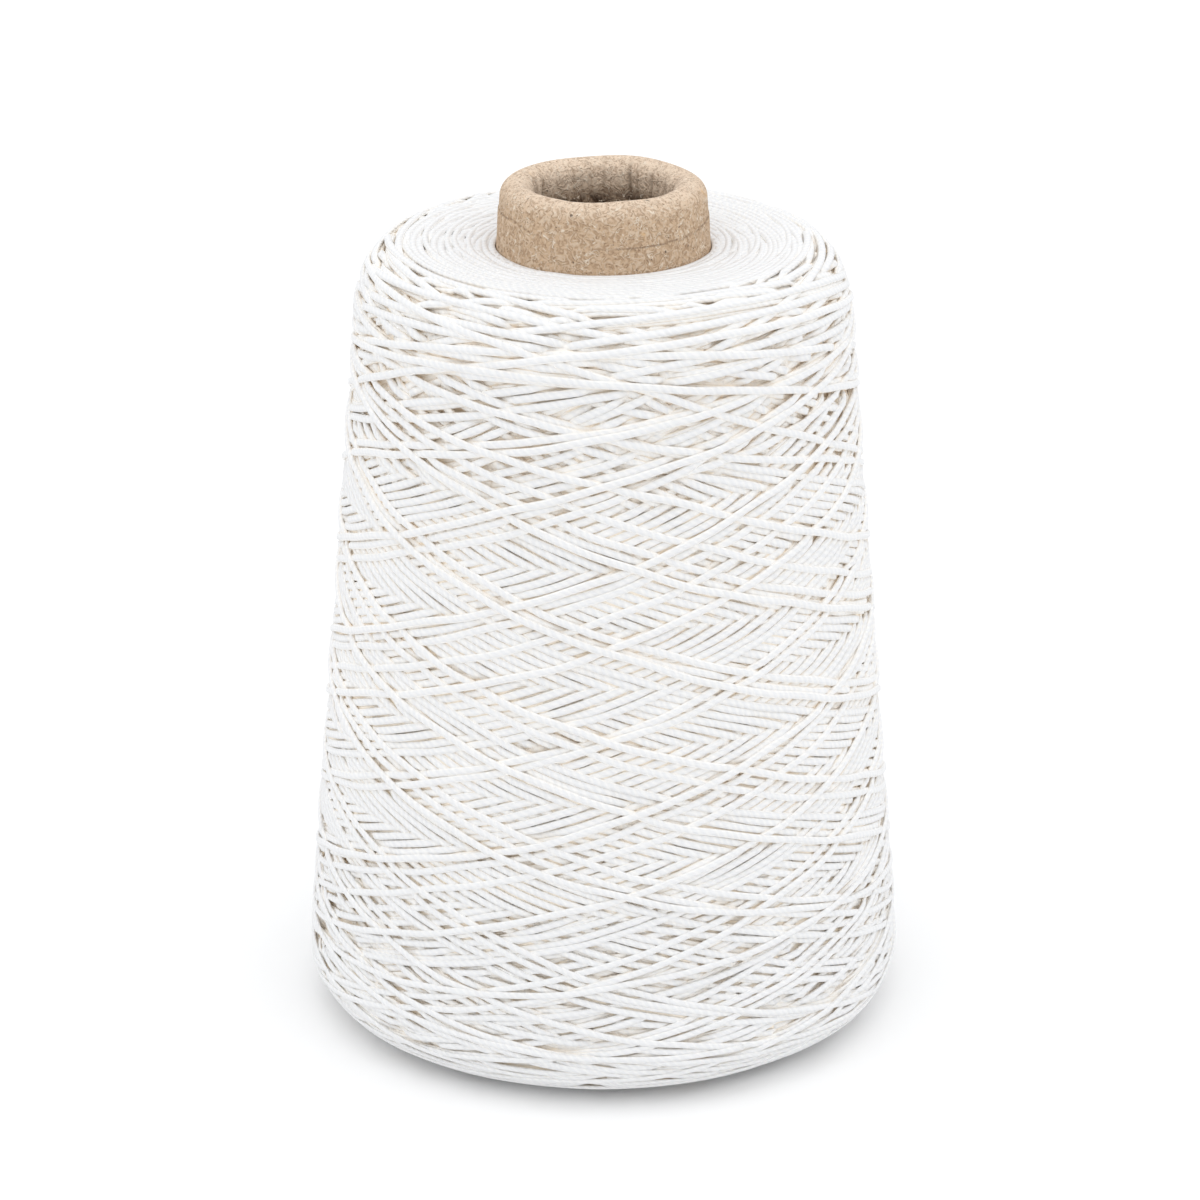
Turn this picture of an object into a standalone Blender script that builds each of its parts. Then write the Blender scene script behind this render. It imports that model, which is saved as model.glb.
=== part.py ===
"""Cone of yarn: plied cotton yarn cross-wound on a tapered paperboard core.

Metres, +Z up. The origin is the centre of the core's base ring, on the surface the cone stands on.
The core is a plain tapered tube whose nose is rolled over and tucked inside. The yarn is wound
round it nearly from end to end and leaves only the nose bare.
"""
import math

import bmesh
import bpy

# Core: a 170 mm cone with a taper of 4 degrees 20 minutes, measured from its axis.
CORE_HEIGHT = 0.170
CORE_TAPER = math.radians(4 + 20 / 60)
CORE_BASE_RADIUS = 0.0326
CORE_WALL = 0.0022
LIP_ROLL_RADIUS = 0.0033
TUCK_DEPTH = 0.0135
TUCK_END_RADIUS = 0.0006
TUCK_NARROWING = 0.0003
CORE_SEGMENTS = 64
LIP_ARC_STEPS = 10

# Yarn: the wound body's outline, from the core's neck over the shoulder and down to the underside.
YARN_TOP_AT_CORE = 0.1572
YARN_TOP = 0.1584
SHOULDER_RADIUS = 0.0490
SHOULDER_WIDTH = 0.0094
SHOULDER_DROP = 0.0158
FOOT_RADIUS = 0.0602
FOOT_ROUNDING = 0.0105
UNDERSIDE = 0.0015
UNDERSIDE_AT_CORE = 0.0040
YARN_SEGMENTS = 96
FLANK_RINGS = 21
CORNER_STEPS = 5
FACE_STEPS = 2

# Main twists: two crossing families of bands that lie on the flank like the threads of a screw.
TWIST_BANDS = 6
TWIST_TURNS = 1.2
TWIST_DEPTH = 0.0010

# Neighbouring solids stay this far apart.
GAP = 0.0003


def clear_scene():
    """Remove every object of the open scene."""
    for thing in list(bpy.data.objects):
        bpy.data.objects.remove(thing, do_unlink=True)


def plain_material(name, colour, roughness):
    """A non-metallic Principled material of one colour."""
    material = bpy.data.materials.new(name)
    material.use_nodes = True
    shader = material.node_tree.nodes["Principled BSDF"]
    shader.inputs["Base Color"].default_value = (*colour, 1.0)
    shader.inputs["Roughness"].default_value = roughness
    shader.inputs["Metallic"].default_value = 0.0
    material.diffuse_color = (*colour, 1.0)
    return material


def core_radius(height):
    """Outer radius of the core's tapered wall at a height."""
    return CORE_BASE_RADIUS - height * math.tan(CORE_TAPER)


def arc(centre, half_width, half_height, start, end, steps):
    """Points (radius, height) along part of an ellipse, both ends included."""
    points = []
    for step in range(steps + 1):
        angle = start + (end - start) * step / steps
        points.append((centre[0] + half_width * math.cos(angle),
                       centre[1] + half_height * math.sin(angle)))
    return points


def line(start, end, steps):
    """Points (radius, height) strictly between two ends."""
    points = []
    for step in range(1, steps):
        share = step / steps
        points.append((start[0] + (end[0] - start[0]) * share,
                       start[1] + (end[1] - start[1]) * share))
    return points


def turned_solid(name, outline, segments, material, relief=None):
    """Turn a closed outline of (radius, height) points about +Z into one smooth-shaded ring solid.

    The outline runs up the outside and down the inside. The relief, where given, returns how far
    a point (index on the outline, angle about the axis) sinks towards the axis.
    """
    mesh = bpy.data.meshes.new(name)
    builder = bmesh.new()
    rings = []
    for index, (radius, height) in enumerate(outline):
        ring = []
        for segment in range(segments):
            angle = math.tau * segment / segments
            sunk = relief(index, angle) if relief else 0.0
            ring.append(builder.verts.new(((radius - sunk) * math.cos(angle),
                                           (radius - sunk) * math.sin(angle),
                                           height)))
        rings.append(ring)
    for index, lower in enumerate(rings):
        upper = rings[(index + 1) % len(rings)]
        for segment in range(segments):
            beside = (segment + 1) % segments
            builder.faces.new((lower[segment], lower[beside], upper[beside], upper[segment]))
    bmesh.ops.triangulate(builder, faces=builder.faces[:])
    builder.to_mesh(mesh)
    builder.free()
    mesh.materials.append(material)
    mesh.shade_smooth()
    mesh.set_sharp_from_angle(angle=math.radians(40))
    solid = bpy.data.objects.new(name, mesh)
    bpy.context.scene.collection.objects.link(solid)
    return solid


def core_outline():
    """Up the tapered wall, over the rolled lip, down the tucked-in edge and the bore."""
    roll_height = CORE_HEIGHT - LIP_ROLL_RADIUS
    roll_centre = (core_radius(roll_height) - LIP_ROLL_RADIUS, roll_height)
    bore_edge = roll_centre[0] - LIP_ROLL_RADIUS - TUCK_NARROWING
    tuck_end = (bore_edge + TUCK_END_RADIUS, CORE_HEIGHT - TUCK_DEPTH)
    wall_inside = core_radius(tuck_end[1]) - CORE_WALL
    base_outside = (CORE_BASE_RADIUS, 0.0)
    base_inside = (CORE_BASE_RADIUS - CORE_WALL, 0.0)
    lip = arc(roll_centre, LIP_ROLL_RADIUS, LIP_ROLL_RADIUS, 0.0, math.pi, LIP_ARC_STEPS)
    tuck = arc(tuck_end, TUCK_END_RADIUS, TUCK_END_RADIUS, math.pi, 1.5 * math.pi, 2)
    under_tuck = (wall_inside, tuck_end[1] - TUCK_END_RADIUS)
    outline = [base_outside]
    outline += line(base_outside, lip[0], 4)
    outline += lip
    outline += tuck
    outline += [under_tuck]
    outline += line(under_tuck, base_inside, 3)
    outline += [base_inside]
    return outline


def yarn_outline():
    """Round the foot, up the flank and over the shoulder, across the top, down the bore.

    Returns the outline and, for each of its points, how far up the flank it lies from 0 to 1,
    or None where it lies on an end face or in the bore.
    """
    foot_centre = (FOOT_RADIUS - FOOT_ROUNDING, UNDERSIDE + FOOT_ROUNDING)
    shoulder_centre = (SHOULDER_RADIUS - SHOULDER_WIDTH, YARN_TOP - SHOULDER_DROP)
    foot = arc(foot_centre, FOOT_ROUNDING, FOOT_ROUNDING, -0.5 * math.pi, 0.0, CORNER_STEPS)
    shoulder = arc(shoulder_centre, SHOULDER_WIDTH, SHOULDER_DROP, 0.0, 0.5 * math.pi, CORNER_STEPS)
    flank = line(foot[-1], shoulder[0], FLANK_RINGS)
    top_at_core = (core_radius(YARN_TOP_AT_CORE) + GAP, YARN_TOP_AT_CORE)
    underside_at_core = (core_radius(UNDERSIDE_AT_CORE) + GAP, UNDERSIDE_AT_CORE)
    faces_up = line(shoulder[-1], top_at_core, FACE_STEPS)
    faces_down = line(underside_at_core, foot[0], FACE_STEPS)
    outline = foot + flank + shoulder + faces_up + [top_at_core, underside_at_core] + faces_down
    flank_share = [None] * len(outline)
    first = len(foot) - 1
    for step in range(FLANK_RINGS + 1):
        flank_share[first + step] = step / FLANK_RINGS
    return outline, flank_share


def twist_relief(flank_share):
    """How far the flank sinks between the crossing bands of yarn, as a function of place."""
    def sunk(index, angle):
        share = flank_share[index]
        if share is None:
            return 0.0
        lean = math.tau * TWIST_TURNS * share
        rising = math.cos(TWIST_BANDS * (angle - lean))
        falling = math.cos(TWIST_BANDS * (angle + lean))
        ends_fade = math.sin(math.pi * share) ** 0.5
        return TWIST_DEPTH * ends_fade * 0.5 * (1.0 - max(rising, falling))
    return sunk


def build_core():
    """The paperboard core."""
    board = plain_material("paperboard", (0.48, 0.33, 0.20), 0.85)
    return turned_solid("paper_core", core_outline(), CORE_SEGMENTS, board)


def build_yarn():
    """The wound yarn, one solid round the core."""
    cotton = plain_material("cotton_yarn", (0.88, 0.87, 0.84), 0.9)
    outline, flank_share = yarn_outline()
    return turned_solid("yarn_body", outline, YARN_SEGMENTS, cotton, twist_relief(flank_share))


clear_scene()
build_core()
build_yarn()
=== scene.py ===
"""The looks of a cone of plied cotton yarn on its paperboard core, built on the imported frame.

The yarn is wound here strand by strand, as the winding machine lays it: each pass runs up or down
the cone at a small angle, turns back at the shoulder or the foot, and rests on what lies below it.
Places on the wound body are given by an angle about +Z, a reach along the outline, which runs from
the core's foot round the flank to the core's neck, and a height above that outline.
"""
import math
from collections import namedtuple

import bpy
import numpy as np
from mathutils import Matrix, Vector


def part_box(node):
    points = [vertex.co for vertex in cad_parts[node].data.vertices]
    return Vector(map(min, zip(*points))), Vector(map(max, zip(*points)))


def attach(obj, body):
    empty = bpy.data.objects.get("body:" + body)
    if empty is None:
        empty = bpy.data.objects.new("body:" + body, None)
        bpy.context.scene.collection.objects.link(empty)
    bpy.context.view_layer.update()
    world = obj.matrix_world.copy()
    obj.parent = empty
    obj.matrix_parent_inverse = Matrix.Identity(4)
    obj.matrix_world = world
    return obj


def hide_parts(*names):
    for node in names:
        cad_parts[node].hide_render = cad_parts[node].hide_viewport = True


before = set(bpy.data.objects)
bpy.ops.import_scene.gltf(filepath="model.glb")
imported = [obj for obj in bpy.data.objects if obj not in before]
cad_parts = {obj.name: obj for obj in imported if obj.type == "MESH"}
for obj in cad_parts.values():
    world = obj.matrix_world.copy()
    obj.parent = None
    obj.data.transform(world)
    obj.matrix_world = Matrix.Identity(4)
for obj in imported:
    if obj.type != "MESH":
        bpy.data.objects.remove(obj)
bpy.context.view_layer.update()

MM = 0.001
TURN = 2 * math.pi
YARN_SEED = 20
CORE_SEED = 11

# Sizes of the wound form and the core. The boxes of the CAD nodes give the rest.
FOOT_ROUNDING = 10.5 * MM
UNDERSIDE_RISE = 2.5 * MM
SHOULDER_RADIUS = 49.0 * MM
SHOULDER_WIDTH = 9.4 * MM
SHOULDER_DROP = 15.8 * MM
TOP_DIP = 1.2 * MM
CORE_TAPER = math.tan(math.radians(4 + 20 / 60))
CORE_WALL = 2.2 * MM
LIP_ROLL = 3.3 * MM
TUCK_DEPTH = 13.5 * MM
TUCK_END = 0.6 * MM
TUCK_NARROWING = 0.3 * MM
GAP = 0.3 * MM
# The lowest turns of yarn sag this far below the modelled foot.
FOOT_SAG = 0.35 * MM

core_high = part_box("paper_core")[1]
yarn_low, yarn_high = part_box("yarn_body")
CORE_BASE_RADIUS = core_high.x
CORE_HEIGHT = core_high.z
FOOT_RADIUS = yarn_high.x
YARN_TOP = yarn_high.z
YARN_UNDERSIDE = yarn_low.z - FOOT_SAG
# The usual length of one turn of strand round the cone.
TURN_LENGTH = TURN * 0.9 * FOOT_RADIUS

# The strand: a plied cotton yarn. Lay has a row for each kind of layer: half width and half thickness of
# its strands, their wander, how high their tops stand against the outline where nothing lies on them,
# how far they press down what they cross, in half thicknesses (below 0 they sink into it), the distance
# between their rings of vertices, and the sides of their section.
Lay = namedtuple("Lay", "half_width half_thickness wander level pressing ring_spacing sides")
ENDS = Lay(0.88 * MM, 0.46 * MM, 0.10 * MM, -0.10 * MM, -0.35, 2.0 * MM, 4)
LOOSE = Lay(0.76 * MM, 0.46 * MM, 0.10 * MM, 0.40 * MM, -0.05, 2.0 * MM, 4)
BED = Lay(0.89 * MM, 0.46 * MM, 0.20 * MM, -0.50 * MM, 0.00, 2.2 * MM, 4)
NET = Lay(0.76 * MM, 0.50 * MM, 0.25 * MM, -0.28 * MM, 0.20, 2.1 * MM, 6)
OUTER = Lay(0.77 * MM, 0.56 * MM, 0.28 * MM, 0.0 * MM, 0.35, 1.8 * MM, 6)
LAYER_NAMES = (("ends", ENDS), ("loose", LOOSE), ("bed", BED), ("net", NET), ("outer", OUTER))
# The outline of a strand's section for each number of sides, in half widths and half thicknesses. Its
# underside is flat, as it is never seen.
SECTIONS = {
    4: ((0.96, -0.55), (0.64, 0.84), (-0.64, 0.84), (-0.96, -0.55)),
    6: ((0.88, -0.55), (1.00, 0.10), (0.50, 0.88), (-0.50, 0.88), (-1.00, 0.10), (-0.88, -0.55)),
}
# How much of the full turn round a strand those sides take up, without the underside.
SEEN_SHARE = 0.6
PLIES = 3
PLY_PITCH = 5.2 * MM

# How deep the winding is modelled, and how uneven its surface is, in lumps of what size.
WINDING_DEPTH = 3.5 * MM
UNEVENNESS = 0.15 * MM
LUMP_SIZE = 5 * MM
# Strands whose centres lie deeper than this press on nothing, and none is pressed deeper than the next.
HIDDEN = 2.3 * MM
DEEPEST = 2.9 * MM


def core_radius(height):
    """Outer radius of the core's tapered wall at a height."""
    return CORE_BASE_RADIUS - height * CORE_TAPER


def ellipse_arc(centre, half_width, half_height, start, end, steps):
    """Points (radius, height) along part of an ellipse, both ends included."""
    angle = np.linspace(start, end, steps + 1)
    return np.stack([centre[0] + half_width * np.cos(angle), centre[1] + half_height * np.sin(angle)], 1)


def blurred(field, row_size, column_size, spread):
    """A field blurred by a Gaussian. It repeats along its columns and is mirrored past its rows."""
    rows, columns = field.shape
    doubled = np.concatenate([field[::-1], field])
    row_waves = np.fft.fftfreq(2 * rows)[:, None] * spread / row_size
    column_waves = np.fft.rfftfreq(columns)[None, :] * spread / column_size
    keep = np.exp(-2 * math.pi ** 2 * (row_waves ** 2 + column_waves ** 2))
    return np.fft.irfft2(np.fft.rfft2(doubled) * keep, s=doubled.shape)[rows:]


def smoothed(values, spread):
    """A row of values smoothed by a Gaussian of this spread, in samples."""
    reach = int(3 * spread) + 1
    weights = np.exp(-0.5 * (np.arange(-reach, reach + 1) / spread) ** 2)
    return np.convolve(np.pad(values, reach, mode="edge"), weights / weights.sum(), mode="valid")


def eased(share):
    """A share kept between 0 and 1 that starts and ends smoothly."""
    share = share.clip(0, 1)
    return share ** 2 * (3 - 2 * share)


# The steps along each of the wound form's two rounded corners.
CORNER_STEPS = 30


def wound_outline():
    """The wound form as (radius, height): from the core, round the foot and the shoulder, to the core."""
    foot_centre = (FOOT_RADIUS - FOOT_ROUNDING, YARN_UNDERSIDE + FOOT_ROUNDING)
    shoulder_centre = (SHOULDER_RADIUS - SHOULDER_WIDTH, YARN_TOP - SHOULDER_DROP)
    under = YARN_UNDERSIDE + UNDERSIDE_RISE
    neck = YARN_TOP - TOP_DIP
    foot = ellipse_arc(foot_centre, FOOT_ROUNDING, FOOT_ROUNDING, -0.25 * TURN, 0, CORNER_STEPS)
    shoulder = ellipse_arc(shoulder_centre, SHOULDER_WIDTH, SHOULDER_DROP, 0, 0.25 * TURN, CORNER_STEPS)
    start = [[core_radius(under) + GAP, under]]
    end = [[core_radius(neck) + GAP, neck]]
    return np.concatenate([start, foot, shoulder, end])


class WoundSurface:
    """The cone's outline, with maps of how high strands reach and how much room is left under them."""

    CELL = 0.35 * MM
    COLUMNS = 1080
    # The outline's sharp corners are softened over this many cells.
    SOFTENING = 3
    # How high the winding stands around a place is averaged over this distance.
    NEARBY = 0.7 * MM

    def __init__(self, chance):
        corners = wound_outline()
        reach = np.concatenate([[0], np.cumsum(np.hypot(*np.diff(corners, axis=0).T))])
        self.length = reach[-1]
        self.foot_start = reach[1]
        self.foot_end = reach[1 + CORNER_STEPS]
        self.shoulder_start = reach[2 + CORNER_STEPS]
        self.shoulder_end = reach[2 + 2 * CORNER_STEPS]
        self.reach = np.linspace(0, self.length, int(self.length / self.CELL) + 1)
        self.cell = self.reach[1]
        self.column_size = TURN_LENGTH / self.COLUMNS
        self.radius = smoothed(np.interp(self.reach, reach, corners[:, 0]), self.SOFTENING)
        self.height = smoothed(np.interp(self.reach, reach, corners[:, 1]), self.SOFTENING)
        along_radius = np.gradient(self.radius)
        along_height = np.gradient(self.height)
        size = np.hypot(along_radius, along_height)
        self.out_radius = along_height / size
        self.out_height = -along_radius / size
        shape = (len(self.reach), self.COLUMNS)
        self.top = np.full(shape, -WINDING_DEPTH)
        self.ceiling = np.zeros(shape)
        # The winding is loose on the flank and tight on the end faces.
        turning = (self.foot_start, self.foot_end + 15 * MM, self.shoulder_start - 10 * MM, self.shoulder_end)
        self.looseness = np.interp(self.reach, turning, (0.25, 1.0, 1.0, 0.25))
        # The strand is drawn tighter, and so thinner, where the cone is wide.
        wide_end = (self.foot_end, self.foot_end + 60 * MM)
        self.stoutness = np.interp(self.reach, wide_end, (0.82, 1.0))
        self.uneven = blurred(chance.normal(0, 1, shape), self.cell, self.column_size, LUMP_SIZE)
        self.uneven *= UNEVENNESS / self.uneven.std() * self.looseness[:, None] ** 0.5

    def at(self, values, reach):
        """Values that belong to the outline's steps, read off at some reaches."""
        return np.interp(reach, self.reach, values)

    def outward(self, angle, reach):
        """Unit vectors out of the surface."""
        flat = self.at(self.out_radius, reach)
        return np.stack([flat * np.cos(angle), flat * np.sin(angle), self.at(self.out_height, reach)], -1)

    def point(self, angle, reach, height):
        """Places in space."""
        radius = self.at(self.radius, reach)
        base = np.stack([radius * np.cos(angle), radius * np.sin(angle), self.at(self.height, reach)], -1)
        return base + self.outward(angle, reach) * np.asarray(height)[..., None]

    def cells(self, angle, reach):
        """The rows and columns of the maps at some places."""
        row = np.clip(np.rint(reach / self.cell).astype(int), 0, len(self.reach) - 1)
        column = np.rint(angle / TURN * self.COLUMNS).astype(int) % self.COLUMNS
        return row, column

    def settle(self):
        """Maps how high the winding stands around each place, once every strand is laid."""
        self.nearby = blurred(self.top, self.cell, self.column_size, self.NEARBY)


# The lines along a strand on which it is fitted to its surroundings, in half widths from its centre.
FOOTPRINT = np.linspace(-0.96, 0.96, 9)
# What lies on a strand presses on these lines in its middle. Its soft sides give way.
MIDDLE = slice(3, 6)
# The length of a step along a strand.
SAMPLE = 0.3 * MM
# Half the length over which two passes are joined, in samples.
JOINT = 12
# A strand is stiff: each place on it lies as low as the lowest within so many samples to each side, and
# its bends are smoothed over so many.
STIFF_REACH = 2
BEND_SPREAD = 3


def footprint(surface, kind, angle, reach):
    """The cells under a strand, in lines along it, each with how far the strand rises above its centre."""
    radius = surface.at(surface.radius, reach)
    stoutness = surface.at(surface.stoutness, reach)
    along_angle = np.gradient(angle) * radius
    along_reach = np.gradient(reach)
    pace = np.hypot(along_angle, along_reach)
    lines = []
    for share in FOOTPRINT:
        aside = share * kind.half_width * stoutness
        bulge = kind.half_thickness * stoutness ** 2 * math.sqrt(1 - share ** 2)
        line_angle = angle + aside * along_reach / pace / radius
        line_reach = reach - aside * along_angle / pace
        lines.append((surface.cells(line_angle, line_reach), bulge))
    return lines


def lay(surface, kind, angle, reach):
    """Fits one strand under the strands laid after it and returns it as (kind, angles, reaches, heights).

    Where nothing covers it, it comes up to the level of its kind.
    """
    lines = footprint(surface, kind, angle, reach)
    room = np.min([surface.ceiling[cells] - bulge for cells, bulge in lines[MIDDLE]], axis=0)
    highest = kind.level * surface.at(surface.looseness, reach) - kind.half_thickness
    highest = highest + surface.uneven[surface.cells(angle, reach)]
    # Its far end joins the strand laid after it, so it isn't pressed under that one.
    room[-JOINT:] = room[-JOINT - 1]
    room = np.pad(np.minimum(room, highest).clip(-DEEPEST), STIFF_REACH, mode="edge")
    room = np.min([room[shift:len(angle) + shift] for shift in range(2 * STIFF_REACH + 1)], axis=0)
    centre = smoothed(room, BEND_SPREAD)
    covers = centre > -HIDDEN
    # Turns that sink into what they cross do so at their middle, and give way to the turns beside them.
    for (row, column), bulge in lines[MIDDLE] if kind.pressing < 0 else lines:
        under = centre[covers] - kind.pressing * bulge[covers]
        np.minimum.at(surface.ceiling, (row[covers], column[covers]), under)
    for cells, bulge in lines:
        np.maximum.at(surface.top, cells, centre + bulge)
    return kind, angle, reach, centre


def joined(passes):
    """Joins successive passes of one kind into one strand, evening out its height where they meet."""
    kind = passes[0][0]
    angle, reach, height = (np.concatenate([one[field][1:] for one in passes]) for field in (1, 2, 3))
    for joint in np.cumsum([len(one[1]) - 1 for one in passes])[:-1]:
        first, last = joint - JOINT, joint + JOINT
        height[first:last] = np.linspace(height[first], height[last], 2 * JOINT)
    return kind, angle, reach, height


# The waves of a strand's wander, as (waves in a pass, size).
WAVES = ((2.3, 1.0), (7.3, 0.9), (17.0, 0.7), (33.0, 0.45))
# The shares of a pass in which it slows down to turn back at the foot and at the shoulder, its least
# speed, and how much faster it climbs at the shoulder than at the foot.
SLOW_AT_FOOT = 0.30
SLOW_AT_SHOULDER = 0.17
LEAST_SPEED = 0.004
QUICKENING = 0.24
# Where a pass usually turns back, past the flank's foot and its shoulder, and how far from there it is
# led aside to its own turning point.
TURN_PAST_FOOT = 8 * MM
TURN_PAST_SHOULDER = 10 * MM
LED_AT_FOOT = 45 * MM
LED_AT_SHOULDER = 35 * MM


def traverse(surface, start, turns, low, high, rising, wander, phases):
    """Angles and reaches of one pass, eased at both ends, where the strand turns back.

    Low and high say where it turns. Between the turning zones every pass keeps to the same path,
    apart from the slow waves of its wander.
    """
    samples = int(math.hypot(turns * TURN_LENGTH, surface.length) / SAMPLE)
    share = np.linspace(0, 1, samples + 1)
    speed = np.minimum(share / SLOW_AT_FOOT, (1 - share) / SLOW_AT_SHOULDER)
    speed = np.minimum(1, speed) + LEAST_SPEED
    speed *= 1 - 0.5 * QUICKENING + QUICKENING * share
    travel = np.cumsum(speed) - speed[0]
    usual_low = surface.foot_end - TURN_PAST_FOOT
    usual_high = surface.shoulder_start + TURN_PAST_SHOULDER
    reach = usual_low + (usual_high - usual_low) * travel / travel[-1]
    near_foot = eased(1 - (reach - usual_low) / LED_AT_FOOT)
    near_shoulder = eased(1 - (usual_high - reach) / LED_AT_SHOULDER)
    reach += (low - usual_low) * near_foot
    reach += (high - usual_high) * near_shoulder
    drift = np.zeros(samples + 1)
    for (waves, size), phase in zip(WAVES, phases):
        drift += size * np.sin(TURN * waves * share + phase)
    reach += wander * drift * np.sqrt(np.sin(math.pi * share).clip(0))
    if not rising:
        reach = reach[::-1]
    return start + turns * TURN * share, reach


# The strand's winding angle on the flank and its room there. It climbs and comes back down in this many
# turns, and after this many such double passes it lies beside its first path.
WINDING_ANGLE = math.radians(14.5)
STRAND_PITCH = 1.27 * MM
DOUBLE_PASS_TURNS = 3.4
PASSES_TO_REPEAT = 5
# The stages of the winding on the flank: kind of layer, double passes, strands between neighbours, the
# spread of that, the step from one turning point to the next, and how far the waves of the wander shift.
Stage = namedtuple("Stage", "kind passes spacing spread step shift")
STAGES = (
    Stage(BED, 200, 1.0, 0.10, 2.6 * MM, 0.15),
    Stage(NET, 4, 3.0, 1.5, 9.0 * MM, 0.9),
    Stage(NET, 5, 1.1, 0.3, 4.0 * MM, 0.9),
    Stage(OUTER, 6, 7.0, 3.5, 9.0 * MM, 0.9),
)


def roam(place, step, limits, chance):
    """The next turning point: a random step from the last one, kept between two limits."""
    low, high = limits
    place += chance.normal(0, step)
    if place < low:
        place = 2 * low - place
    if place > high:
        place = 2 * high - place
    return min(max(place, low), high)


def wind_flank(surface, chance):
    """The passes that show on the flank, the dense bed first and the open net last.

    Returns a list for each kind of its passes, each as (kind, angles, reaches).
    """
    one_strand = STRAND_PITCH / math.sin(WINDING_ANGLE) / TURN_LENGTH
    low_limits = (surface.foot_start + 1 * MM, surface.foot_end + 5 * MM)
    high_limits = (surface.shoulder_start - 3 * MM, surface.shoulder_end + 1 * MM)
    low = surface.foot_end
    high = surface.shoulder_start
    angle = 0.0
    # One row of phases for falling passes and one for rising ones.
    phases = chance.uniform(0, TURN, (2, len(WAVES)))
    strands = []
    for stage in STAGES:
        for _ in range(stage.passes):
            beside = chance.normal(stage.spacing, stage.spread) * one_strand / PASSES_TO_REPEAT
            turns = (DOUBLE_PASS_TURNS + beside) / 2
            for rising in (True, False):
                if rising:
                    high = roam(high, stage.step, high_limits, chance)
                else:
                    low = roam(low, stage.step, low_limits, chance)
                phase = phases[int(rising)]
                phase += chance.normal(0, stage.shift, len(WAVES))
                angles, reaches = traverse(surface, angle, turns, low, high, rising, stage.kind.wander, phase)
                strands.append((stage.kind, angles, reaches))
                angle = angles[-1]
    return [[strand for strand in strands if strand[0] is kind] for kind in (BED, NET, OUTER)]


# The layers on an end face, as (kind, distance between turns): two dense ones, then a few loose turns.
END_LAYERS = ((ENDS, 1.22 * MM), (ENDS, 1.22 * MM), (LOOSE, 4.0 * MM), (LOOSE, 6.0 * MM))
# The waves in which the turns on an end face sway, as (waves a turn, size), and the spread of the first.
SWAY = ((1.015, 1.6 * MM), (2.02, 0.9 * MM), (3.03, 0.5 * MM), (7.04, 0.10 * MM))
SWAY_SPREAD = 0.006
# The sway dies away over this distance before the core.
STEADYING = 6 * MM
# The points of a spiral before it is divided into even steps.
SPIRAL_POINTS = 4000
# The turns on an end face come this near to the core. They start under the passes of the flank: this
# far past its upper end, or this far up from its lower end.
NEAR_CORE = 0.15 * MM
PAST_SHOULDER = 2 * MM
UP_FROM_FOOT = 10 * MM


def wind_end_face(surface, outer, inner, chance):
    """The turns of the older layers that show on an end face, wound inwards round the core.

    Returns a list of layers, each a list of turns as (kind, angles, reaches).
    """
    wound = []
    for layer, (kind, pitch) in enumerate(END_LAYERS):
        turns = abs(outer - inner) / pitch
        angle = np.linspace(0, (turns + 1) * TURN, SPIRAL_POINTS)
        reach = outer + (inner - outer) * (angle / (turns * TURN)).clip(0, 1)
        room = (abs(reach - inner) / STEADYING).clip(0, 1)
        for waves, size in SWAY:
            waves = waves + chance.normal(0, SWAY_SPREAD)
            reach += size * room * np.sin(waves * angle + chance.uniform(0, TURN))
        reach = reach.clip(min(outer, inner), max(outer, inner))
        run = np.cumsum(surface.at(surface.radius, reach) * angle[1])
        even = np.arange(run[0], run[-1], SAMPLE)
        angle, reach = np.interp(even, run, angle), np.interp(even, run, reach)
        starts = np.searchsorted(angle, TURN * np.arange(0.5, turns + 0.5))
        start = chance.uniform(0, TURN)
        lean = -1 if layer % 2 else 1
        wound.append([(kind, start + lean * angle[first:last + 1], reach[first:last + 1])
                      for first, last in zip([0, *starts], [*starts, len(angle) - 1])])
    return wound


def lay_all(surface, wound):
    """Lays every layer, the strand wound last first and each earlier one under it."""
    strands = []
    for passes in reversed(wound):
        laid = [lay(surface, *one) for one in reversed(passes)]
        strands.append(joined(laid[::-1]))
    return strands


# A strand shows where it comes this near to the top of the winding. It is kept this far past both ends
# of such a stretch, and a stretch of no more than this many samples is left out.
SHOWING = 0.06 * MM
KEPT_BEYOND = 4.0 * MM
SHORTEST = 12


def stretches_that_show(surface, strand):
    """Splits a strand into the stretches of it that aren't buried."""
    kind, angle, reach, height = strand
    clear = np.zeros(len(reach), bool)
    for cells, bulge in footprint(surface, kind, angle, reach):
        clear |= height + bulge > surface.top[cells] - SHOWING
    spread = int(KEPT_BEYOND / SAMPLE)
    shown = np.convolve(clear, np.ones(2 * spread + 1), mode="same") > 0.5
    edges = np.flatnonzero(np.diff(np.concatenate([[False], shown, [False]]).astype(int)))
    pieces = []
    for start, end in zip(edges[::2], edges[1::2]):
        if end - start > SHORTEST:
            pieces.append((kind, angle[start:end], reach[start:end], height[start:end]))
    return pieces


def build_mesh(name, places, quads, material):
    """One mesh object from arrays of places and four-cornered faces."""
    mesh = bpy.data.meshes.new(name)
    mesh.vertices.add(len(places))
    mesh.vertices.foreach_set("co", places.astype(np.float32).ravel())
    mesh.loops.add(4 * len(quads))
    mesh.loops.foreach_set("vertex_index", quads.astype(np.int32).ravel())
    mesh.polygons.add(len(quads))
    mesh.polygons.foreach_set("loop_start", np.arange(0, 4 * len(quads), 4, dtype=np.int32))
    mesh.update(calc_edges=True)
    mesh.shade_smooth()
    mesh.materials.append(material)
    thing = bpy.data.objects.new(name, mesh)
    bpy.context.scene.collection.objects.link(thing)
    return thing


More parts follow.
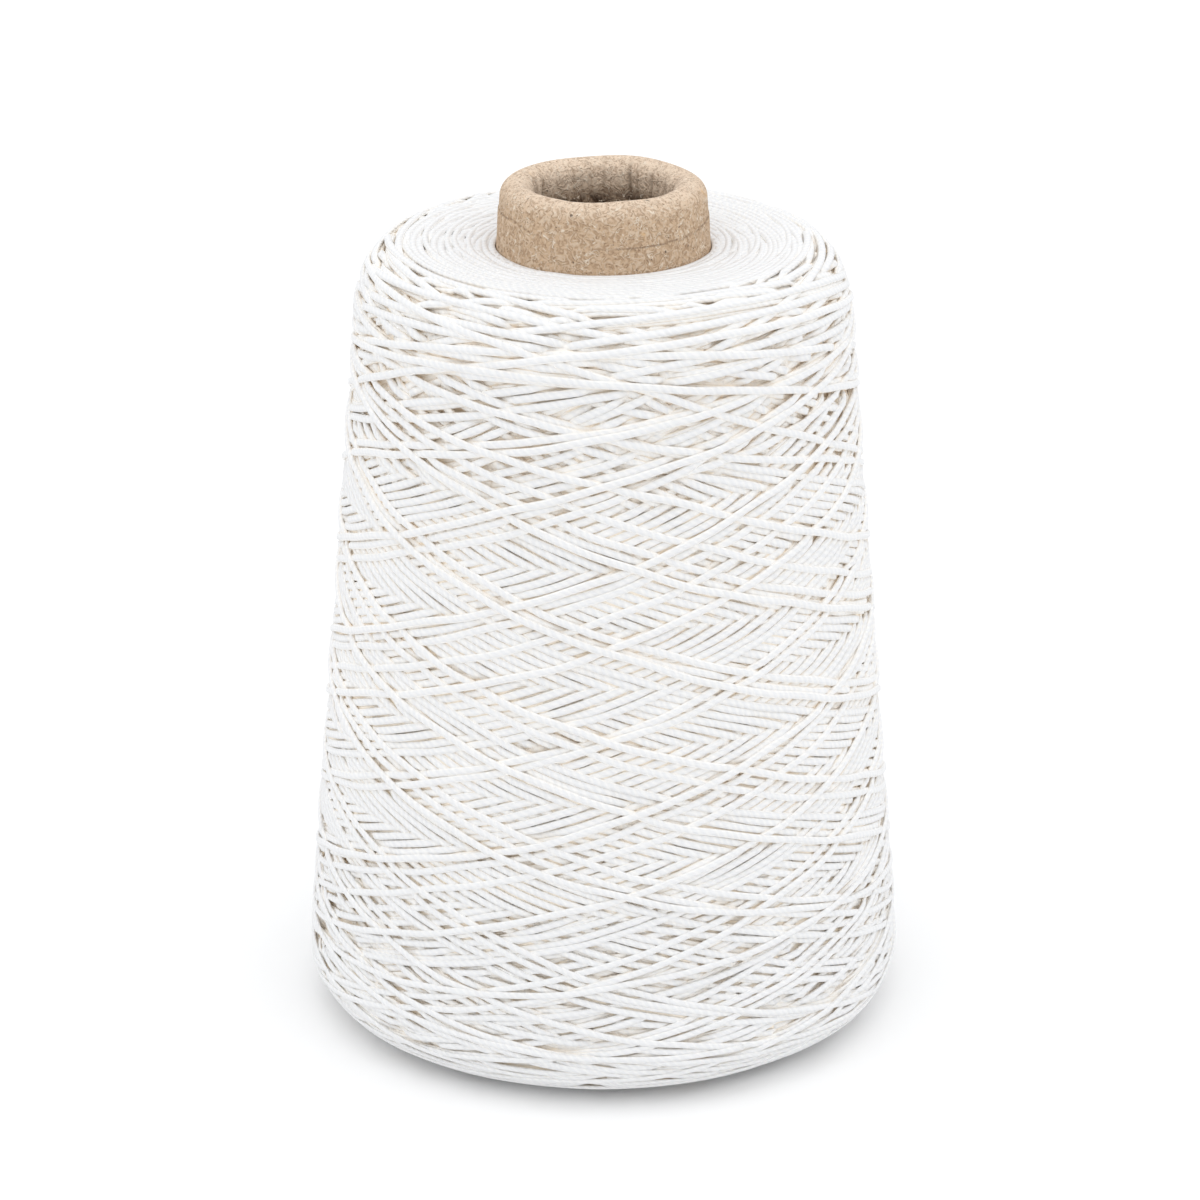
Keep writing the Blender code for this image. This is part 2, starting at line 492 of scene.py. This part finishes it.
def add_map(mesh, name, corners):
    """A UV map from an array with a row for each face corner."""
    layer = mesh.uv_layers.new(name=name, do_init=False)
    layer.uv.foreach_set("vector", corners.astype(np.float32).ravel())


def add_number(mesh, name, values):
    """A number stored on each vertex."""
    layer = mesh.attributes.new(name, "FLOAT", "POINT")
    layer.data.foreach_set("value", values.astype(np.float32))


def ring_faces(rows, columns):
    """The faces of a grid of vertices that closes on itself both ways."""
    index = np.arange(rows * columns).reshape(rows, columns)
    beside = np.roll(index, -1, axis=1)
    above = np.roll(index, -1, axis=0)
    return np.stack([index, beside, np.roll(above, -1, axis=1), above], -1).reshape(-1, 4)


# How much warmer and lighter a strand's colour is painted as it lies deeper, and down its own sides: painted
# warm light and shade of the crevices.
SUNK_PAINTED_TONE = 0.35
FLANK_PAINTED_TONE = 0.70
# How much of that its sides get, at least and at most, by how deep it lies among the strands around it.
FLANK_PAINTED_LIMITS = (0.3, 1.2)


def tube_rings(surface, strand):
    """Rings of vertices over a strand's round top and flat underside, which is never seen.

    Returns the places, the distance along it, and how far down in the crevices each place is: the tone that
    paints warm light and shade into its colour.
    """
    kind, angle, reach, height = strand
    count = max(3, round(len(angle) * SAMPLE / kind.ring_spacing))
    kept = np.unique(np.rint(np.linspace(0, len(angle) - 1, count))).astype(int)
    centre = surface.point(angle, reach, height)
    heading = np.gradient(centre, axis=0)
    heading /= np.linalg.norm(heading, axis=1)[:, None]
    across = np.cross(heading, surface.outward(angle, reach))
    across /= np.linalg.norm(across, axis=1)[:, None]
    upward = np.cross(across, heading)
    distance = np.concatenate([[0], np.cumsum(np.linalg.norm(np.diff(centre, axis=0), axis=1))])
    section = np.array(SECTIONS[kind.sides])
    stoutness = surface.at(surface.stoutness, reach[kept])[:, None, None]
    wide = kind.half_width * stoutness * section[None, :, :1]
    tall = kind.half_thickness * stoutness ** 2 * section[None, :, 1:]
    rings = centre[kept, None] + wide * across[kept, None] + tall * upward[kept, None]
    nearby = surface.nearby[surface.cells(angle[kept], reach[kept])]
    # Painted light and shade: the deeper a place lies among the strands and the further down its strand's
    # side, the warmer and lighter its colour.
    sunk = (nearby - height[kept] - kind.half_thickness).clip(0)[:, None]
    below_top = (kind.half_thickness * stoutness[..., 0] ** 2 - tall[..., 0]).clip(0)
    painted_flank_tone = below_top * ((nearby - height[kept]) / kind.half_thickness).clip(*FLANK_PAINTED_LIMITS)[:, None]
    return rings, distance[kept], SUNK_PAINTED_TONE * sunk + FLANK_PAINTED_TONE * painted_flank_tone


def tube_faces(index):
    """The walls and the end caps of a closed tube, from its rings of vertex numbers."""
    sides = index.shape[1]
    beside = (np.arange(sides) + 1) % sides
    walls = np.stack([index[:-1], index[1:], index[1:][:, beside], index[:-1][:, beside]], -1)
    caps = []
    for side in range(1, sides - 2, 2):
        caps.append(index[0, [0, side, side + 1, side + 2]])
        caps.append(index[-1, [0, side + 2, side + 1, side]])
    return walls.reshape(-1, 4), np.array(caps)


def tube_wrap(distance, sides):
    """For each corner of a tube's walls, the number of its side and its distance along the strand."""
    column = np.arange(sides)[None, :] + np.zeros((len(distance) - 1, 1))
    near = distance[:-1, None] + np.zeros(sides)
    far = distance[1:, None] + np.zeros(sides)
    corners = [(column, near), (column, far), (column + 1, far), (column + 1, near)]
    return np.stack([np.stack(corner, -1) for corner in corners], -2).reshape(-1, 4, 2)


def build_strands(name, surface, strands, material):
    """Joins strands into one mesh of closed tubes with their maps."""
    sides = strands[0][0].sides
    places, faces, wraps, painted_tones = [], [], [], []
    first = 0
    run = 0.0
    for strand in strands:
        rings, distance, depth = tube_rings(surface, strand)
        index = first + np.arange(len(rings) * sides).reshape(-1, sides)
        walls, caps = tube_faces(index)
        places.append(rings.reshape(-1, 3))
        faces += [walls, caps]
        wraps += [tube_wrap(run + distance, sides), np.zeros((len(caps), 4, 2)) + (0, run)]
        painted_tones.append(depth.ravel())
        first += index.size
        run += distance[-1]
    thing = build_mesh(name, np.concatenate(places), np.concatenate(faces), material)
    wrap = np.concatenate(wraps)
    around = np.append(np.linspace(0, SEEN_SHARE, sides), 1)
    unrolled = wrap.copy()
    unrolled[..., 0] = np.interp(wrap[..., 0], np.arange(sides + 1), around)
    add_map(thing.data, "Strand", unrolled.reshape(-1, 2))
    add_map(thing.data, "OFBake", strip_map(wrap, run, sides).reshape(-1, 2))
    # The depth stored on each vertex paints warm light and shade into the yarn's colour.
    add_number(thing.data, "depth", np.concatenate(painted_tones) / MM)
    return thing


# In the map for baking: the girth of a strand, how much longer than its share a row is, the longest face,
# and the margin above and below a row.
GIRTH = TURN * 0.6 * MM
ROW_SPARE = 1.002
LONGEST_FACE = 4 * MM
ROW_MARGIN = 0.06


def strip_map(wrap, run, sides):
    """Cuts the long strip of unrolled strand into rows that fill a unit square."""
    rows = max(1, math.ceil(math.sqrt(run / GIRTH)))
    row_length = run / rows * ROW_SPARE
    start = wrap[:, :, 1].min(axis=1)
    row = np.minimum(start // row_length, rows - 1)
    across = (wrap[:, :, 1] - (row * row_length)[:, None]) / (row_length + LONGEST_FACE)
    up = (row[:, None] + ROW_MARGIN + (1 - 2 * ROW_MARGIN) * wrap[:, :, 0] / sides) / rows
    return np.stack([across, up], -1).clip(0, 1)


class Shading:
    """A node tree with short ways to add nodes. A value is a number, a colour or an output to link.

    Each way returns the new node's output.
    """

    def __init__(self, owner):
        owner.use_nodes = True
        self.nodes = owner.node_tree.nodes
        self.links = owner.node_tree.links

    def feed(self, place, value):
        """Gives an input its value."""
        if isinstance(value, bpy.types.NodeSocket):
            self.links.new(value, place)
        elif isinstance(value, tuple):
            place.default_value = (*value, 1.0)
        else:
            place.default_value = value

    def maths(self, operation, *values):
        """A Math node."""
        node = self.nodes.new("ShaderNodeMath")
        node.operation = operation
        for place, value in zip(node.inputs, values):
            self.feed(place, value)
        return node.outputs[0]

    def plus(self, first, second):
        """A sum."""
        return self.maths("ADD", first, second)

    def times(self, first, second):
        """A product."""
        return self.maths("MULTIPLY", first, second)

    def vector(self, *parts):
        """A vector from its first parts. The others are 0."""
        node = self.nodes.new("ShaderNodeCombineXYZ")
        for place, part in zip(node.inputs, parts):
            self.feed(place, part)
        return node.outputs[0]

    def parts(self, vector):
        """The three parts of a vector, as outputs."""
        node = self.nodes.new("ShaderNodeSeparateXYZ")
        self.feed(node.inputs[0], vector)
        return node.outputs

    def place(self, kind):
        """The place being shaded, in the coordinates of this kind."""
        return self.nodes.new("ShaderNodeTexCoord").outputs[kind]

    def uv_map(self, name):
        """The place being shaded, on this UV map."""
        node = self.nodes.new("ShaderNodeUVMap")
        node.uv_map = name
        return node.outputs[0]

    def number(self, name):
        """A number stored on the mesh."""
        node = self.nodes.new("ShaderNodeAttribute")
        node.attribute_name = name
        return node.outputs["Fac"]

    def noise(self, place, scale, detail=2.0, roughness=0.5, distortion=0.0):
        """A noise texture's factor."""
        node = self.nodes.new("ShaderNodeTexNoise")
        self.feed(node.inputs["Vector"], place)
        self.feed(node.inputs["Scale"], scale)
        self.feed(node.inputs["Detail"], detail)
        self.feed(node.inputs["Roughness"], roughness)
        self.feed(node.inputs["Distortion"], distortion)
        return node.outputs["Fac"]

    def ramp(self, value, low, high):
        """0 up to a low value, 1 from a high value on, smooth between. Low may be the greater."""
        node = self.nodes.new("ShaderNodeMapRange")
        node.interpolation_type = "SMOOTHSTEP"
        self.feed(node.inputs["Value"], value)
        self.feed(node.inputs["From Min"], low)
        self.feed(node.inputs["From Max"], high)
        return node.outputs[0]

    def colours(self, factor, stops):
        """A colour ramp over stops of (position, colour)."""
        node = self.nodes.new("ShaderNodeValToRGB")
        while len(node.color_ramp.elements) < len(stops):
            node.color_ramp.elements.new(0.5)
        for element, (position, colour) in zip(node.color_ramp.elements, stops):
            element.position = position
            element.color = (*colour, 1.0)
        self.feed(node.inputs[0], factor)
        return node.outputs[0]

    def mixed(self, factor, first, second):
        """A colour between two."""
        node = self.nodes.new("ShaderNodeMix")
        node.data_type = "RGBA"
        for place, value in ((0, factor), (6, first), (7, second)):
            self.feed(node.inputs[place], value)
        return node.outputs[2]

    def tinted(self, colour, mark, strength, tint):
        """A colour that takes on a tint where the mark is 1, at this strength."""
        return self.mixed(self.times(mark, strength), colour, tint)

    def bump(self, relief, strength, distance):
        """A normal bent by a relief."""
        node = self.nodes.new("ShaderNodeBump")
        self.feed(node.inputs["Strength"], strength)
        self.feed(node.inputs["Distance"], distance)
        self.feed(node.inputs["Height"], relief)
        return node.outputs[0]


def new_material(name):
    """A material with its shading and its Principled node."""
    material = bpy.data.materials.new(name)
    shading = Shading(material)
    return material, shading, shading.nodes["Principled BSDF"]


def yarn_material():
    """Undyed plied cotton: twisted plies in relief, fine fibres, and painted warm shade and light in the
    gaps.
    """
    material, yarn, shader = new_material("cotton_yarn")
    around, along = yarn.parts(yarn.uv_map("Strand"))[:2]
    lengthwise = yarn.vector(along)

    # The plies twist round the strand, here tighter and there slacker, and stand out more in places.
    twist = yarn.plus(around, yarn.times(along, 1 / PLY_PITCH))
    twist = yarn.plus(twist, yarn.noise(lengthwise, 90.0, 2.0, 0.6))
    ply = yarn.maths("SINE", yarn.times(twist, PLIES * math.pi))
    ply = yarn.times(ply, ply)
    marked = yarn.ramp(yarn.noise(lengthwise, 160.0, 1.0), 0.3, 0.7)
    marked = yarn.plus(0.2, yarn.times(marked, 0.7))

    # The fibres run along with the plies.
    fibres = yarn.noise(yarn.vector(yarn.times(twist, 16.0), yarn.times(along, 900.0)), 1.0, 3.0, 0.6)
    relief = yarn.plus(yarn.times(ply, marked), yarn.times(fibres, 0.5))
    yarn.feed(shader.inputs["Normal"], yarn.bump(relief, 0.8, 0.12 * MM))

    # Down in the crevices, and a little in the grooves between plies, the colour is painted warmer and
    # lighter: painted warm light and shade.
    buried = yarn.times(yarn.number("depth"), 0.9)
    painted_groove_tone = yarn.times(yarn.maths("SUBTRACT", 1.0, ply), 0.10)
    colour = yarn.colours(yarn.plus(buried, painted_groove_tone), (
        (0.05, (0.82, 0.825, 0.835)),
        (0.22, (0.93, 0.915, 0.89)),
        (0.50, (0.97, 0.915, 0.84)),
        (1.00, (0.97, 0.85, 0.70)),
    ))
    # Some fibres are greyer.
    colour = yarn.tinted(colour, yarn.ramp(fibres, 0.45, 0.75), 0.30, (0.73, 0.72, 0.705))
    yarn.feed(shader.inputs["Base Color"], colour)
    shader.inputs["Roughness"].default_value = 0.85
    shader.inputs["Specular IOR Level"].default_value = 0.25
    shader.inputs["Sheen Weight"].default_value = 0.15
    shader.inputs["Sheen Roughness"].default_value = 0.5
    return material


def packed_shade_material():
    """The yarn deep inside, seen only through gaps in the strands. Its warm tan is painted shade, the tone of
    the shaded gaps.
    """
    material, packed, shader = new_material("packed_yarn_painted_shade")
    cloudy = packed.noise(packed.place("Object"), 900.0)
    # Painted shade: a cloudy warm tan for the shaded gaps.
    colour = packed.colours(cloudy, ((0.3, (0.95, 0.87, 0.75)), (0.7, (0.97, 0.91, 0.82))))
    packed.feed(shader.inputs["Base Color"], colour)
    shader.inputs["Roughness"].default_value = 0.9
    return material


def lowest_nearby(field, rows, columns):
    """For each cell the lowest value within so many rows and columns."""
    lowest = field
    for shift in range(1, rows + 1):
        up = np.concatenate([field[shift:], np.repeat(field[-1:], shift, axis=0)])
        down = np.concatenate([np.repeat(field[:1], shift, axis=0), field[:-shift]])
        lowest = np.minimum(lowest, np.minimum(up, down))
    across = lowest
    for shift in range(1, columns + 1):
        left = np.roll(lowest, shift, axis=1)
        right = np.roll(lowest, -shift, axis=1)
        across = np.minimum(across, np.minimum(left, right))
    return across


# The inner mass has one vertex for this many cells each way. It follows the lowest place of the winding
# within as many cells, smoothed over this distance but raised no more than this by it, and lies this far
# below that.
PACKED_CELLS = 4
PACKED_SMOOTHING = 1.0 * MM
PACKED_RISE = 0.05 * MM
PACKED_BELOW = 0.22 * MM


def build_packed_yarn(surface):
    """The closed inner mass of yarn under the strands, so no gap opens on a void.

    On the end faces it lies deeper than on the flank, down to the depth of the modelled winding.
    """
    columns = surface.COLUMNS // PACKED_CELLS
    rows = np.arange(0, len(surface.reach), PACKED_CELLS)
    angle = TURN * np.arange(columns) / columns
    grid_angle, grid_reach = np.meshgrid(angle, surface.reach[rows])
    floor = lowest_nearby(surface.top, PACKED_CELLS, PACKED_CELLS)
    smooth = blurred(floor, surface.cell, surface.column_size, PACKED_SMOOTHING)
    floor = np.minimum(smooth, floor + PACKED_RISE)
    outer = surface.point(grid_angle, grid_reach, floor[rows][:, ::PACKED_CELLS] - PACKED_BELOW)
    radius = np.hypot(outer[..., 0], outer[..., 1])
    least = core_radius(outer[..., 2]) + GAP
    outer[..., :2] *= np.maximum(1, least / radius)[..., None]
    faces = ring_faces(len(rows), columns)
    return build_mesh("packed_yarn_painted_shade", outer.reshape(-1, 3), faces, packed_shade_material())


# The strands of a kind are split into pieces of at most about this many triangles.
MOST_TRIANGLES = 170000


def even_shares(strands):
    """Splits strands of one kind into groups of about even length, none with too many triangles."""
    kind = strands[0][0]
    run = np.cumsum([len(strand[1]) for strand in strands])
    parts = math.ceil(run[-1] * SAMPLE / kind.ring_spacing * 2 * kind.sides / MOST_TRIANGLES)
    ends = np.searchsorted(run, run[-1] * np.arange(1, parts + 1) / parts) + 1
    starts = np.concatenate([[0], ends[:-1]])
    return [strands[start:end] for start, end in zip(starts, ends)]


def build_yarn():
    """The whole winding, as a few joined meshes."""
    chance = np.random.default_rng(YARN_SEED)
    surface = WoundSurface(chance)
    near_neck = surface.length - NEAR_CORE
    wound = wind_end_face(surface, surface.shoulder_start + PAST_SHOULDER, near_neck, chance)
    wound += wind_end_face(surface, surface.foot_end + UP_FROM_FOOT, NEAR_CORE, chance)
    wound += wind_flank(surface, chance)
    strands = lay_all(surface, wound)
    surface.settle()
    shown = []
    for strand in strands:
        shown += stretches_that_show(surface, strand)
    material = yarn_material()
    pieces = [build_packed_yarn(surface)]
    for name, kind in LAYER_NAMES:
        chosen = [strand for strand in shown if strand[0] is kind]
        for part, some in enumerate(even_shares(chosen)):
            pieces.append(build_strands(f"yarn_{name}_{part + 1}", surface, some, material))
    for piece in pieces:
        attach(piece, "root")
        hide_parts("yarn_body")


def fibre_curls(board, place, scale, turns, seed):
    """Curled fibres lying in swirls: the even contour lines of a gently warped noise, from -1 to 1."""
    shifted = board.nodes.new("ShaderNodeVectorMath")
    shifted.operation = "ADD"
    shifted.inputs[1].default_value = (seed, 2 * seed, 3 * seed)
    board.feed(shifted.inputs[0], place)
    swirl = board.noise(shifted.outputs[0], scale, 1.0, 0.45, 0.6)
    return board.maths("SINE", board.times(swirl, TURN * turns))


def in_patches(board, place, scale, low, high):
    """1 in scattered patches and 0 between them."""
    return board.ramp(board.noise(place, scale, 2.0, 0.6), low, high)


def paperboard_material():
    """Grey-brown board made of waste paper: curled light and dark fibres and specks, with painted shade in
    its creases and inside its nose.
    """
    material, board, shader = new_material("paperboard")
    place = board.place("Object")
    cloudy = board.noise(place, 160.0, 3.0, 0.6)
    colour = board.mixed(cloudy, (0.525, 0.373, 0.247), (0.63, 0.46, 0.313))
    # Paler round the roll; where this paleness runs on down the upper tuck, it is painted light on the
    # inside.
    colour = board.tinted(colour, board.number("pale_rim_and_painted_light"), 0.75, (0.84, 0.69, 0.55))
    grain = board.noise(place, 2600.0, 2.0, 0.6)
    colour = board.mixed(board.ramp(grain, 0.52, 0.75), colour, (0.30, 0.195, 0.12))

    # Fibres: pale and dark ones side by side in the same swirls, and fewer bright ones of their own.
    swirls = fibre_curls(board, place, 620.0, 4.4, 1.3)
    curls = fibre_curls(board, place, 560.0, 3.6, 4.7)
    pale = board.times(board.ramp(swirls, 0.0, 0.9), in_patches(board, place, 900.0, 0.34, 0.56))
    dark = board.times(board.ramp(swirls, 0.0, -0.9), in_patches(board, place, 800.0, 0.34, 0.56))
    bright = board.times(board.ramp(curls, 0.80, 1.0), in_patches(board, place, 500.0, 0.50, 0.58))
    colour = board.tinted(colour, pale, 0.45, (0.74, 0.62, 0.49))
    colour = board.tinted(colour, dark, 0.42, (0.25, 0.15, 0.085))
    colour = board.tinted(colour, bright, 0.75, (0.86, 0.76, 0.63))

    # Dark specks, rusty patches, and painted shade in the creases.
    specks = board.ramp(board.noise(place, 1150.0, 0.0), 0.81, 0.83)
    colour = board.tinted(colour, specks, 0.8, (0.10, 0.075, 0.06))
    rust = board.ramp(board.noise(place, 330.0, 1.0), 0.70, 0.80)
    colour = board.tinted(colour, rust, 0.35, (0.70, 0.42, 0.17))
    # Painted shade in the creases, and the outer ply's own dark edge line.
    colour = board.tinted(colour, board.number("crease"), 0.75, (0.17, 0.11, 0.07))

    # Inside the nose and down the bore the board is darkened in mottled patches, more the deeper it lies:
    # painted shade. The bright fibres are left out of it.
    mottled = board.ramp(board.noise(place, 420.0, 3.0, 0.65, 0.8), 0.20, 0.55)
    painted_inside_shade = board.times(mottled, board.number("inside"))
    painted_inside_shade = board.times(painted_inside_shade, board.maths("SUBTRACT", 1.0, bright))
    colour = board.tinted(colour, painted_inside_shade, 0.92, (0.045, 0.021, 0.011))
    board.feed(shader.inputs["Base Color"], colour)

    relief = board.plus(board.plus(pale, board.times(grain, 0.6)), bright)
    relief = board.maths("SUBTRACT", relief, dark)
    board.feed(shader.inputs["Normal"], board.bump(relief, 0.7, 0.10 * MM))
    shader.inputs["Roughness"].default_value = 0.9
    shader.inputs["Specular IOR Level"].default_value = 0.2
    return material


# The columns of the core's mesh, and the creases round its nose.
CORE_COLUMNS = 320
CREASES = 46


def ripples(angle, height, most_round, least_wave, count, chance):
    """Gentle unevenness round the core, between about -1 and 1."""
    total = np.zeros(np.broadcast(angle, height).shape)
    for _ in range(count):
        round_it = chance.integers(1, most_round + 1)
        up_it = chance.uniform(-TURN, TURN) / least_wave
        total += np.cos(round_it * angle + up_it * height + chance.uniform(0, TURN))
    return total / math.sqrt(count)


def core_rows():
    """The core's closed outline as (radius, height), with the rows where it turns: lip, tuck, bore, base."""
    roll_height = CORE_HEIGHT - LIP_ROLL
    roll_centre = (core_radius(roll_height) - LIP_ROLL, roll_height)
    bore_edge = roll_centre[0] - LIP_ROLL - TUCK_NARROWING
    tuck_end = (bore_edge + TUCK_END, CORE_HEIGHT - TUCK_DEPTH)
    # The wall has most of its rows where it shows above the yarn.
    hidden = 0.9 * CORE_HEIGHT
    wall_heights = np.concatenate([np.linspace(0, hidden, 14)[:-1],
                                   np.linspace(hidden, roll_height, 48)[:-1]])
    wall = np.stack([core_radius(wall_heights), wall_heights], 1)
    lip = ellipse_arc(roll_centre, LIP_ROLL, LIP_ROLL, 0, math.pi, 30)
    tuck = np.linspace(lip[-1], (bore_edge, tuck_end[1]), 26)[1:-1]
    end = ellipse_arc(tuck_end, TUCK_END, TUCK_END, math.pi, 1.5 * math.pi, 4)
    bore_heights = np.linspace(tuck_end[1] - TUCK_END, 0, 60)
    bore = np.stack([core_radius(bore_heights) - CORE_WALL, bore_heights], 1)
    parts = [wall, lip, tuck, end, bore]
    starts = np.cumsum([0] + [len(part) for part in parts])
    return np.concatenate(parts), dict(zip(("wall", "lip", "tuck", "end", "bore", "stop"), starts))


# How much each row of the core's outline belongs to each of its zones, from 0 to 1. Rolled says how far
# it is round the roll, and tucked how far down the tuck.
Zones = namedtuple("Zones", "rolled tucked on_nose in_bore near_top crown creased torn outside")


def core_zones(rows, starts):
    """The zones of the core's rows."""
    number = np.arange(len(rows))[:, None]
    roll_rows = starts["tuck"] - starts["lip"]
    rolled = ((number - starts["lip"]) / roll_rows).clip(0, 1)
    tucked = ((number - starts["tuck"]) / (starts["end"] - starts["tuck"])).clip(0, 1)
    on_nose = ((number >= starts["lip"]) & (number < starts["bore"])).astype(float)
    in_bore = (number >= starts["bore"]).astype(float)
    near_top = ((rows[:, 1:] - 0.93 * CORE_HEIGHT) / (0.03 * CORE_HEIGHT)).clip(0, 1) * (1 - in_bore)
    crown = np.sin(math.pi * rolled) * (number < starts["tuck"])
    # Creases start past the crown and deepen inwards.
    creased = (1.9 * rolled - 0.85).clip(0, 1) * (1 - 0.3 * tucked) * on_nose
    torn = tucked ** 2 * (number < starts["bore"])
    outside = (number < starts["lip"] + 0.3 * roll_rows).astype(float)
    return Zones(rolled, tucked, on_nose, in_bore, near_top, crown, creased, torn, outside)


def gather_creases(angle, zones, chance):
    """Creases round the nose, where the turned-in board gathers, each with its own lean and width."""
    crease = np.zeros(np.broadcast(angle, zones.creased).shape)
    for _ in range(CREASES):
        centre = chance.uniform(0, TURN)
        lean = chance.normal(0, 0.05)
        width = math.radians(chance.uniform(0.9, 2.4))
        depth = chance.uniform(0.2, 1.0)
        away = (angle - centre - lean * (zones.rolled + zones.tucked) + 0.5 * TURN) % TURN - 0.5 * TURN
        crease = np.maximum(crease, depth * np.exp(-(away / width) ** 2) * zones.creased)
    return crease


def outer_ply_edge(angle, chance):
    """The height of the outermost ply's edge, which runs round below the roll, and how clear it is."""
    from_front = (angle + 0.25 * TURN + 0.5 * TURN) % TURN - 0.5 * TURN
    swing = 1 - np.cos(from_front - math.radians(12))
    bump = np.exp(-((from_front + math.radians(58)) / math.radians(25)) ** 2)
    edge = CORE_HEIGHT - 8.1 * MM + (2.0 * swing + 1.4 * bump) * MM
    edge = edge + 0.12 * MM * ripples(angle, 0, 40, 20 * MM, 16, chance)
    faint = np.exp(-((from_front + math.radians(20)) / math.radians(26)) ** 2)
    return edge, 1 - 0.85 * faint


def shape_core(rows, zones, angle, chance):
    """The radius and height of each of the core's vertices, and how creased or marked by an edge each is."""
    radius = rows[:, :1] + 0 * angle
    height = rows[:, 1:] + 0 * angle

    # The roll is a little uneven, and the wall has shallow dents above the yarn.
    radius = radius + 0.13 * MM * zones.near_top * ripples(angle, height, 8, 20 * MM, 12, chance)
    height = height + 0.18 * MM * zones.crown * ripples(angle, 0, 6, 20 * MM, 9, chance)

    # The board is creased where it is turned in, and its tucked edge is torn unevenly.
    crease = gather_creases(angle, zones, chance)
    radius = radius + 0.60 * MM * crease
    radius = radius - 0.12 * MM * zones.creased * ripples(angle, height, 24, 8 * MM, 10, chance)
    height = height + 0.8 * MM * zones.torn * ripples(angle, 0, 30, 20 * MM, 16, chance)

    # The board below the outermost ply's edge stands proud, and the edge is a fine dark line.
    edge, clearness = outer_ply_edge(angle, chance)
    proud = ((edge - height) / (0.3 * MM)).clip(0, 1) * zones.near_top
    radius = radius + 0.17 * MM * proud * zones.outside
    edge_line = np.exp(-((height - edge - 0.05 * MM) / (0.14 * MM)) ** 2) * zones.outside
    # The creases' share of this mark is painted shade; the edge line is the ply edge's own dark line.
    return radius, height, np.maximum(0.8 * crease, edge_line * clearness)


def two_strips(rows, columns):
    """A UV map for a ring-shaped grid: the first half of its rows and the rest, side by side."""
    row = np.arange(rows)[:, None]
    half = (rows + 1) // 2
    strip = row // half
    low = (row % half) / half
    left = np.arange(columns)[None, :] / columns + 0 * row
    margin = 0.01
    corners = []
    for right, up in ((0, 0), (1, 0), (1, 1), (0, 1)):
        across = (left + right / columns) * (0.5 - margin) + 0.5 * strip
        corners.append(np.stack([across, (low + up / half) * (1 - margin) + 0 * left], -1))
    return np.stack(corners, -2)


def build_core():
    """The paperboard core: nose rolled over and tucked in, creased there, its outer ply's edge showing."""
    rows, starts = core_rows()
    zones = core_zones(rows, starts)
    angle = TURN * np.arange(CORE_COLUMNS)[None, :] / CORE_COLUMNS
    radius, height, crease = shape_core(rows, zones, angle, np.random.default_rng(CORE_SEED))
    places = np.stack([radius * np.cos(angle), radius * np.sin(angle), height], -1).reshape(-1, 3)
    faces = ring_faces(len(rows), CORE_COLUMNS)
    core = build_mesh("paper_core_board", places, faces, paperboard_material())
    # Paler round the roll and on down the upper half of the tuck; down the tuck this paleness is painted
    # light.
    pale_rim_and_painted_light = np.sin(0.25 * TURN * (1.6 * zones.rolled).clip(0, 1)) * (1 - 2.0 * zones.tucked).clip(0, 1)
    # Darker the deeper into the nose, and all down the bore: painted shade.
    inside = ((zones.tucked - 0.10) / 0.30).clip(0, 1) ** 1.2 * zones.on_nose + zones.in_bore
    add_number(core.data, "pale_rim_and_painted_light", (pale_rim_and_painted_light * zones.on_nose + 0 * angle).ravel())
    add_number(core.data, "inside", (inside + 0 * angle).clip(0, 1).ravel())
    add_number(core.data, "crease", crease.ravel())
    add_map(core.data, "OFBake", two_strips(len(rows), CORE_COLUMNS).reshape(-1, 2))
    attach(core, "root")
    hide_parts("paper_core")


def build_stage():
    """A white floor."""
    bpy.ops.mesh.primitive_plane_add(size=6.0)
    floor = bpy.context.object
    floor.name = "floor"
    material, _, shader = new_material("floor_white")
    shader.inputs["Base Color"].default_value = (0.92, 0.92, 0.92, 1.0)
    shader.inputs["Roughness"].default_value = 0.9
    shader.inputs["Specular IOR Level"].default_value = 0.0
    floor.data.materials.append(material)


def build_surround():
    """A surround a little brighter overhead and at both sides."""
    world = bpy.data.worlds.new("studio")
    bpy.context.scene.world = world
    surround = Shading(world)
    direction = surround.parts(surround.place("Generated"))
    overhead = surround.times(surround.maths("MAXIMUM", direction[2], 0.0), 0.54)
    beside = surround.times(surround.maths("POWER", direction[0], 2.0), 0.47)
    strength = surround.plus(surround.plus(overhead, beside), 0.55)
    background = surround.nodes["Background"]
    surround.feed(background.inputs["Strength"], strength)
    background.inputs["Color"].default_value = (0.975, 0.985, 1.0, 1.0)


def build_key_light():
    """One very broad soft light from above, and how far its light is followed and shown."""
    data = bpy.data.lights.new("key", "SUN")
    data.energy = 0.73
    data.angle = math.radians(80)
    data.color = (1.0, 0.99, 0.97)
    key = bpy.data.objects.new("key", data)
    bpy.context.scene.collection.objects.link(key)
    key.rotation_euler = (math.radians(18), 0.0, math.radians(6))
    # White strands pass the light on to one another many times.
    bpy.context.scene.cycles.diffuse_bounces = 12
    bpy.context.scene.view_settings.view_transform = "Standard"


def build_camera():
    """The viewing angle: a long lens a little above the cone, looking down at it."""
    data = bpy.data.cameras.new("camera")
    data.sensor_width = 36.0
    data.lens = 130.8
    data.shift_x = -0.0029
    data.clip_start = 0.01
    camera = bpy.data.objects.new("camera", data)
    bpy.context.scene.collection.objects.link(camera)
    camera.location = (0.0, -0.8083, 0.3982)
    camera.rotation_euler = (math.radians(90 - 21.28), 0.0, 0.0)
    bpy.context.scene.camera = camera


build_camera()
build_stage()
build_surround()
build_key_light()
build_yarn()
build_core()
